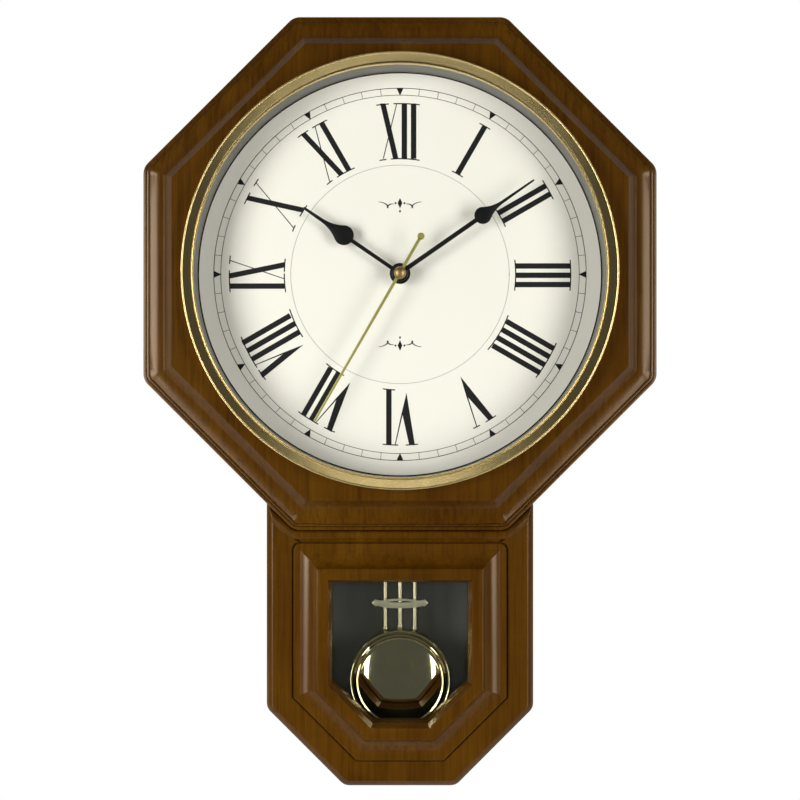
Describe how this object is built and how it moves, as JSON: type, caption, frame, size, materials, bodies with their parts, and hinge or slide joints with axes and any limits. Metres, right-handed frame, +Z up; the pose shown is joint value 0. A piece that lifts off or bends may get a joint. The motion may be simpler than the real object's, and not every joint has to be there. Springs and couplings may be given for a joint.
{
  "type": "pendulum wall clock",
  "caption": "Octagonal drop-dial pendulum wall clock with a brass bezel, Roman dial and a moulded pendulum window.",
  "frame": {"origin": "the point where the wall hook carries the keyhole hanger, on the plane of the wall", "axes": "+Z up the wall, -Y out of the wall towards the viewer, +X to the viewer's right"},
  "size_m": [0.33, 0.088, 0.4972],
  "materials": {
    "walnut": "satin lacquered walnut-stained veneer with fine vertical grain",
    "dark_board": "matt charcoal paint on board",
    "fibreboard": "raw hardboard",
    "brass": "polished and lacquered",
    "steel": "zinc plated",
    "grey_plastic": "satin warm grey",
    "black_plastic": "fine texture",
    "black_paint": "satin black enamel on pressed metal",
    "white_plastic": "natural acetal",
    "rubber": "matt",
    "dial_face": "matt ivory print",
    "glass": "clear, flat",
    "copper": "enamelled copper winding",
    "circuit": "solder-masked glass-epoxy board",
    "battery_shell": "plain printed sleeve",
    "magnet": "nickel plated"
  },
  "bodies": {
    "case": {"head_frame": "walnut", "head_case": "walnut", "back_panel": "fibreboard", "drop_front": "walnut", "window_frame": "walnut", "window_glass": "glass", "drop_case": "walnut", "drop_backboard": "dark_board", "hanger_plate": "steel", "hanger_screw_left": "steel", "hanger_screw_right": "steel", "wall_pad_left": "rubber", "wall_pad_right": "rubber", "back_screw_1": "steel", "back_screw_2": "steel", "back_screw_3": "steel", "back_screw_4": "steel", "bezel": "brass", "dial_glass": "glass", "glass_gasket": "rubber", "reflector_ring": "grey_plastic", "dial": "dial_face", "dial_board": "fibreboard", "movement_case": "black_plastic", "movement_cover": "black_plastic", "mounting_bush": "brass", "rubber_washer": "rubber", "mounting_nut": "brass", "circuit_board": "circuit", "antenna_coil": "copper", "battery": "battery_shell", "contact_positive": "steel", "contact_negative": "steel", "minute_motor_stator": "steel", "minute_motor_coil": "copper", "seconds_motor_stator": "steel", "seconds_motor_coil": "copper", "drive_coil": "copper"},
    "minute_set": {"minute_wheel": "white_plastic", "minute_hand": "black_paint"},
    "minute_reduction": {"minute_reduction_wheel": "white_plastic"},
    "minute_motor_rotor": {"minute_rotor": "white_plastic"},
    "motion_works": {"motion_wheel": "white_plastic"},
    "hour_set": {"hour_wheel": "white_plastic", "hour_hand": "black_paint"},
    "seconds_set": {"seconds_wheel": "white_plastic", "second_hand": "brass"},
    "seconds_reduction": {"seconds_reduction_wheel": "white_plastic"},
    "seconds_motor_rotor": {"seconds_rotor": "white_plastic"},
    "reset_key": {"reset_button": "white_plastic"},
    "set_key": {"set_button": "white_plastic"},
    "pendulum": {"pendulum_lever": "black_plastic", "drive_magnet": "magnet", "pendulum_top_bar": "brass", "rod_left": "brass", "rod_middle": "brass", "rod_right": "brass", "cross_plate": "brass", "bob_shell": "brass", "bob_back": "brass"}
  },
  "joints": [
    {"name": "minute_hand_turn", "type": "hinge", "parent": "case", "child": "minute_set", "pos_m": [0, -0.0506, -0.118], "axis": [0, 1, 0], "continuous": true},
    {"name": "minute_reduction_turn", "type": "hinge", "parent": "case", "child": "minute_reduction", "pos_m": [-0.0105, -0.0484, -0.118], "axis": [0, 1, 0], "continuous": true},
    {"name": "minute_rotor_turn", "type": "hinge", "parent": "case", "child": "minute_motor_rotor", "pos_m": [-0.01575, -0.045, -0.12709], "axis": [0, 1, 0], "continuous": true},
    {"name": "motion_wheel_turn", "type": "hinge", "parent": "case", "child": "motion_works", "pos_m": [0, -0.053, -0.108], "axis": [0, 1, 0], "continuous": true},
    {"name": "hour_hand_turn", "type": "hinge", "parent": "case", "child": "hour_set", "pos_m": [0, -0.055, -0.118], "axis": [0, 1, 0], "continuous": true},
    {"name": "second_hand_turn", "type": "hinge", "parent": "case", "child": "seconds_set", "pos_m": [0, -0.045, -0.118], "axis": [0, 1, 0], "continuous": true},
    {"name": "seconds_reduction_turn", "type": "hinge", "parent": "case", "child": "seconds_reduction", "pos_m": [0.009, -0.043, -0.118], "axis": [0, 1, 0], "continuous": true},
    {"name": "seconds_rotor_turn", "type": "hinge", "parent": "case", "child": "seconds_motor_rotor", "pos_m": [0.01425, -0.045, -0.12709], "axis": [0, 1, 0], "continuous": true},
    {"name": "pendulum_swing", "type": "hinge", "parent": "case", "child": "pendulum", "pos_m": [0, -0.0326, -0.156], "axis": [0, 1, 0], "range_deg": [-5, 5]},
    {"name": "reset_press", "type": "slide", "parent": "case", "child": "reset_key", "axis": [0, -1, 0], "range_m": [0, 0.0008], "stiffness_N_per_m": 400},
    {"name": "set_press", "type": "slide", "parent": "case", "child": "set_key", "axis": [0, -1, 0], "range_m": [0, 0.0008], "stiffness_N_per_m": 400}
  ],
  "couplings": [
    {"joint": "minute_reduction_turn", "follows": "minute_hand_turn", "ratio": -6},
    {"joint": "minute_rotor_turn", "follows": "minute_hand_turn", "ratio": 36},
    {"joint": "motion_wheel_turn", "follows": "minute_hand_turn", "ratio": -0.33333},
    {"joint": "hour_hand_turn", "follows": "minute_hand_turn", "ratio": 0.083333},
    {"joint": "seconds_reduction_turn", "follows": "second_hand_turn", "ratio": -5},
    {"joint": "seconds_rotor_turn", "follows": "second_hand_turn", "ratio": 30}
  ]
}
